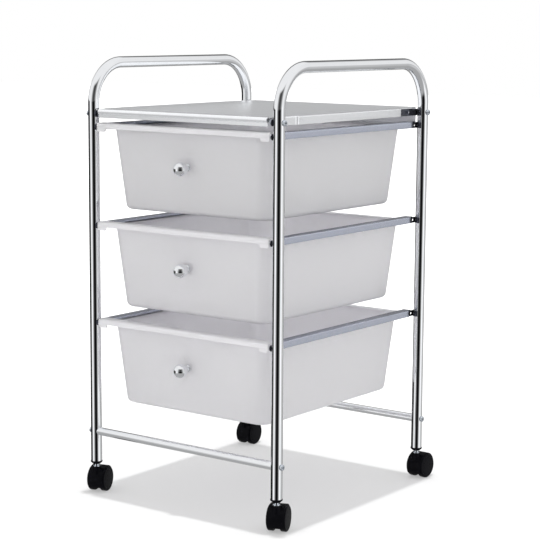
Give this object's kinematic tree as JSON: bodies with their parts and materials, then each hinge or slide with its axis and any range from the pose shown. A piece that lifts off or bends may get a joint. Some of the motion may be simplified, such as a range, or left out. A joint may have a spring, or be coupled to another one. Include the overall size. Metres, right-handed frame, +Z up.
{
  "type": "rolling drawer cart",
  "caption": "Tall narrow rolling cart with bent chromed side tubes, a sheet shelf, sliding frosted drawers with ball knobs, and twin-wheel swivel casters.",
  "frame": {"origin": "on the floor, midway between the four legs", "axes": "+X to the right seen from the drawer fronts, +Y from the drawer fronts to the back, +Z up"},
  "size_m": [0.3782, 0.4214, 0.66],
  "materials": {
    "chromed_tube": "polished chrome plate on steel tube",
    "chromed_sheet": "polished chrome plate on steel sheet",
    "chromed_knob": "polished chrome plate",
    "zinc": "bright zinc plate",
    "frosted_plastic": "frosted translucent polypropylene",
    "black_nylon": "satin moulded nylon",
    "black_tread": "satin moulded nylon"
  },
  "bodies": {
    "frame": {"left_side_tube": "chromed_tube", "right_side_tube": "chromed_tube", "leg_plugs": "black_nylon", "top_shelf": "chromed_sheet", "shelf_screws": "zinc", "shelf_nuts": "zinc", "front_lower_rail": "chromed_tube", "back_lower_rail": "chromed_tube", "rail_plugs": "zinc", "rail_screws": "zinc", "runner_left_top": "chromed_sheet", "runner_left_middle": "chromed_sheet", "runner_left_bottom": "chromed_sheet", "runner_right_top": "chromed_sheet", "runner_right_middle": "chromed_sheet", "runner_right_bottom": "chromed_sheet", "runner_rivets": "zinc", "caster_stems": "zinc"},
    "top_drawer": {"drawer_top": "frosted_plastic", "knob_top": "chromed_knob", "knob_screw_top": "zinc"},
    "middle_drawer": {"drawer_middle": "frosted_plastic", "knob_middle": "chromed_knob", "knob_screw_middle": "zinc"},
    "bottom_drawer": {"drawer_bottom": "frosted_plastic", "knob_bottom": "chromed_knob", "knob_screw_bottom": "zinc"},
    "caster_front_left": {"hood_front_left": "black_nylon", "axle_front_left": "zinc"},
    "front_left_outer_wheel": {"wheel_front_left_outer": "black_tread"},
    "front_left_inner_wheel": {"wheel_front_left_inner": "black_tread"},
    "caster_front_right": {"hood_front_right": "black_nylon", "axle_front_right": "zinc"},
    "front_right_outer_wheel": {"wheel_front_right_outer": "black_tread"},
    "front_right_inner_wheel": {"wheel_front_right_inner": "black_tread"},
    "caster_back_left": {"hood_back_left": "black_nylon", "axle_back_left": "zinc"},
    "back_left_outer_wheel": {"wheel_back_left_outer": "black_tread"},
    "back_left_inner_wheel": {"wheel_back_left_inner": "black_tread"},
    "caster_back_right": {"hood_back_right": "black_nylon", "axle_back_right": "zinc"},
    "back_right_outer_wheel": {"wheel_back_right_outer": "black_tread"},
    "back_right_inner_wheel": {"wheel_back_right_inner": "black_tread"}
  },
  "joints": [
    {"name": "top_drawer_slide", "type": "slide", "parent": "frame", "child": "top_drawer", "axis": [0, -1, 0], "range_m": [0, 0.25]},
    {"name": "middle_drawer_slide", "type": "slide", "parent": "frame", "child": "middle_drawer", "axis": [0, -1, 0], "range_m": [0, 0.25]},
    {"name": "bottom_drawer_slide", "type": "slide", "parent": "frame", "child": "bottom_drawer", "axis": [0, -1, 0], "range_m": [0, 0.25]},
    {"name": "caster_front_left_swivel", "type": "hinge", "parent": "frame", "child": "caster_front_left", "pos_m": [-0.1705, -0.1855, 0.03], "axis": [0, 0, 1], "continuous": true},
    {"name": "front_left_outer_wheel_spin", "type": "hinge", "parent": "caster_front_left", "child": "front_left_outer_wheel", "pos_m": [-0.17436, -0.17361, 0.019], "axis": [0.9511, 0.309, 0], "continuous": true},
    {"name": "front_left_inner_wheel_spin", "type": "hinge", "parent": "caster_front_left", "child": "front_left_inner_wheel", "pos_m": [-0.17436, -0.17361, 0.019], "axis": [0.9511, 0.309, 0], "continuous": true},
    {"name": "caster_front_right_swivel", "type": "hinge", "parent": "frame", "child": "caster_front_right", "pos_m": [0.1705, -0.1855, 0.03], "axis": [0, 0, 1], "continuous": true},
    {"name": "front_right_outer_wheel_spin", "type": "hinge", "parent": "caster_front_right", "child": "front_right_outer_wheel", "pos_m": [0.16602, -0.17383, 0.019], "axis": [0.9336, 0.3584, 0], "continuous": true},
    {"name": "front_right_inner_wheel_spin", "type": "hinge", "parent": "caster_front_right", "child": "front_right_inner_wheel", "pos_m": [0.16602, -0.17383, 0.019], "axis": [0.9336, 0.3584, 0], "continuous": true},
    {"name": "caster_back_left_swivel", "type": "hinge", "parent": "frame", "child": "caster_back_left", "pos_m": [-0.1705, 0.1855, 0.03], "axis": [0, 0, 1], "continuous": true},
    {"name": "back_left_outer_wheel_spin", "type": "hinge", "parent": "caster_back_left", "child": "back_left_outer_wheel", "pos_m": [-0.17137, 0.19797, 0.019], "axis": [0.9976, 0.0698, 0], "continuous": true},
    {"name": "back_left_inner_wheel_spin", "type": "hinge", "parent": "caster_back_left", "child": "back_left_inner_wheel", "pos_m": [-0.17137, 0.19797, 0.019], "axis": [0.9976, 0.0698, 0], "continuous": true},
    {"name": "caster_back_right_swivel", "type": "hinge", "parent": "frame", "child": "caster_back_right", "pos_m": [0.1705, 0.1855, 0.03], "axis": [0, 0, 1], "continuous": true},
    {"name": "back_right_outer_wheel_spin", "type": "hinge", "parent": "caster_back_right", "child": "back_right_outer_wheel", "pos_m": [0.17072, 0.198, 0.019], "axis": [0.9998, -0.0175, 0], "continuous": true},
    {"name": "back_right_inner_wheel_spin", "type": "hinge", "parent": "caster_back_right", "child": "back_right_inner_wheel", "pos_m": [0.17072, 0.198, 0.019], "axis": [0.9998, -0.0175, 0], "continuous": true}
  ]
}
